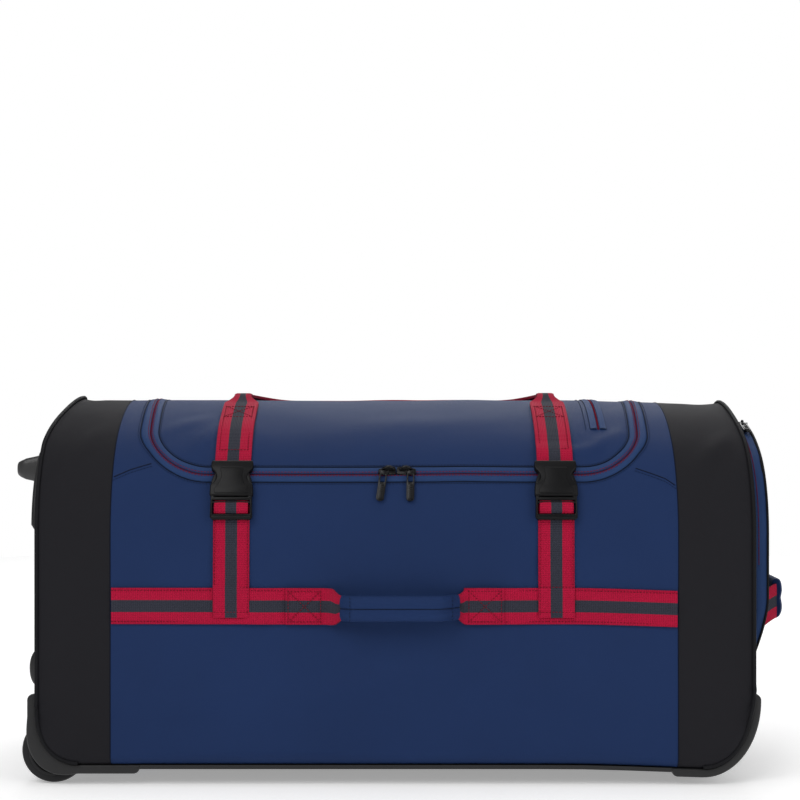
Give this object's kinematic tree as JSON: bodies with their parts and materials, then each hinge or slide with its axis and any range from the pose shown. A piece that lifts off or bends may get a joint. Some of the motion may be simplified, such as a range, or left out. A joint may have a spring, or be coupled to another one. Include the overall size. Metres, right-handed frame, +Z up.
{
  "type": "wheeled travel bag",
  "caption": "Soft blue and black holdall with a zipped top flap, striped webbing straps and handles, and moulded corners with wheels at one end.",
  "frame": {"origin": "on the floor, in the middle of the underside of the middle skid rail", "axes": "+X along the bag to the pocket end (wheels at -X), +Z up, -Y to the long side with the handle"},
  "size_m": [0.855, 0.4216, 0.4099],
  "materials": {
    "base_tray": "satin moulded plastic",
    "buckle_left_plug": "satin moulded plastic",
    "buckle_left_socket": "satin moulded plastic",
    "buckle_right_plug": "satin moulded plastic",
    "buckle_right_socket": "satin moulded plastic",
    "carry_handle_far": "woven webbing",
    "carry_handle_near": "woven webbing",
    "centre_shell": "woven cloth",
    "corner_guard_far": "satin moulded plastic",
    "corner_guard_near": "satin moulded plastic",
    "end_bumper": "satin moulded plastic",
    "end_handle": "woven webbing",
    "end_handle_grip": "woven cloth",
    "end_plate": "satin moulded plastic",
    "end_pocket_face": "woven cloth",
    "end_pocket_gusset": "woven cloth",
    "end_pocket_pull": "glossy black",
    "end_pocket_slider": "glossy black",
    "end_pocket_zip": "zip tape and teeth",
    "grab_handle": "satin moulded plastic",
    "lid": "woven cloth",
    "lid_pocket_zip": "zip tape and teeth",
    "lid_zip": "zip tape and teeth",
    "lid_zip_left_pull": "glossy black",
    "lid_zip_left_slider": "glossy black",
    "lid_zip_right_pull": "glossy black",
    "lid_zip_right_slider": "glossy black",
    "piping_pocket_end": "woven cloth",
    "piping_wheel_end": "woven cloth",
    "pocket_end_cover": "woven cloth",
    "side_band_far": "woven webbing",
    "side_band_left": "woven webbing",
    "side_band_right": "woven webbing",
    "side_handle": "woven webbing",
    "side_handle_grip": "woven cloth",
    "skid_rail_far": "satin moulded plastic",
    "skid_rail_middle": "satin moulded plastic",
    "skid_rail_near": "satin moulded plastic",
    "strap_left_far": "woven webbing",
    "strap_left_lower": "woven webbing",
    "strap_left_upper": "woven webbing",
    "strap_right_far": "woven webbing",
    "strap_right_lower": "woven webbing",
    "strap_right_upper": "woven webbing",
    "wheel_end_cover": "woven cloth",
    "wheel_far_axle": "satin steel",
    "wheel_far_hub": "satin moulded plastic",
    "wheel_far_tyre": "matt rubber",
    "wheel_housing_far": "satin moulded plastic",
    "wheel_housing_near": "satin moulded plastic",
    "wheel_near_axle": "satin steel",
    "wheel_near_hub": "satin moulded plastic",
    "wheel_near_tyre": "matt rubber"
  },
  "bodies": {
    "bag": {"base_tray": "base_tray", "buckle_left_plug": "buckle_left_plug", "buckle_left_socket": "buckle_left_socket", "buckle_right_plug": "buckle_right_plug", "buckle_right_socket": "buckle_right_socket", "carry_handle_far": "carry_handle_far", "carry_handle_near": "carry_handle_near", "centre_shell": "centre_shell", "corner_guard_far": "corner_guard_far", "corner_guard_near": "corner_guard_near", "end_bumper": "end_bumper", "end_handle": "end_handle", "end_handle_grip": "end_handle_grip", "end_plate": "end_plate", "end_pocket_face": "end_pocket_face", "end_pocket_gusset": "end_pocket_gusset", "end_pocket_slider": "end_pocket_slider", "end_pocket_zip": "end_pocket_zip", "grab_handle": "grab_handle", "lid": "lid", "lid_pocket_zip": "lid_pocket_zip", "lid_zip": "lid_zip", "lid_zip_left_slider": "lid_zip_left_slider", "lid_zip_right_slider": "lid_zip_right_slider", "piping_pocket_end": "piping_pocket_end", "piping_wheel_end": "piping_wheel_end", "pocket_end_cover": "pocket_end_cover", "side_band_far": "side_band_far", "side_band_left": "side_band_left", "side_band_right": "side_band_right", "side_handle": "side_handle", "side_handle_grip": "side_handle_grip", "skid_rail_far": "skid_rail_far", "skid_rail_middle": "skid_rail_middle", "skid_rail_near": "skid_rail_near", "strap_left_far": "strap_left_far", "strap_left_lower": "strap_left_lower", "strap_left_upper": "strap_left_upper", "strap_right_far": "strap_right_far", "strap_right_lower": "strap_right_lower", "strap_right_upper": "strap_right_upper", "wheel_end_cover": "wheel_end_cover", "wheel_far_axle": "wheel_far_axle", "wheel_housing_far": "wheel_housing_far", "wheel_housing_near": "wheel_housing_near", "wheel_near_axle": "wheel_near_axle"},
    "wheel_near": {"wheel_near_tyre": "wheel_near_tyre", "wheel_near_hub": "wheel_near_hub"},
    "wheel_far": {"wheel_far_tyre": "wheel_far_tyre", "wheel_far_hub": "wheel_far_hub"},
    "pull_left": {"lid_zip_left_pull": "lid_zip_left_pull"},
    "pull_right": {"lid_zip_right_pull": "lid_zip_right_pull"},
    "pull_pocket": {"end_pocket_pull": "end_pocket_pull"}
  },
  "joints": [
    {"name": "wheel_near_spin", "type": "hinge", "parent": "bag", "child": "wheel_near", "pos_m": [-0.363, -0.16, 0.0345], "axis": [0, 1, 0], "continuous": true},
    {"name": "wheel_far_spin", "type": "hinge", "parent": "bag", "child": "wheel_far", "pos_m": [-0.363, 0.16, 0.0345], "axis": [0, 1, 0], "continuous": true},
    {"name": "pull_left_swing", "type": "hinge", "parent": "bag", "child": "pull_left", "pos_m": [-0.0132, -0.17896, 0.33011], "axis": [-1, 0, 0], "range_deg": [0, 115]},
    {"name": "pull_right_swing", "type": "hinge", "parent": "bag", "child": "pull_right", "pos_m": [0.0153, -0.17896, 0.33011], "axis": [-1, 0, 0], "range_deg": [0, 115]},
    {"name": "pull_pocket_swing", "type": "hinge", "parent": "bag", "child": "pull_pocket", "pos_m": [0.3843, -0.05221, 0.37966], "axis": [-1, 0, 0], "range_deg": [0, 115]}
  ]
}
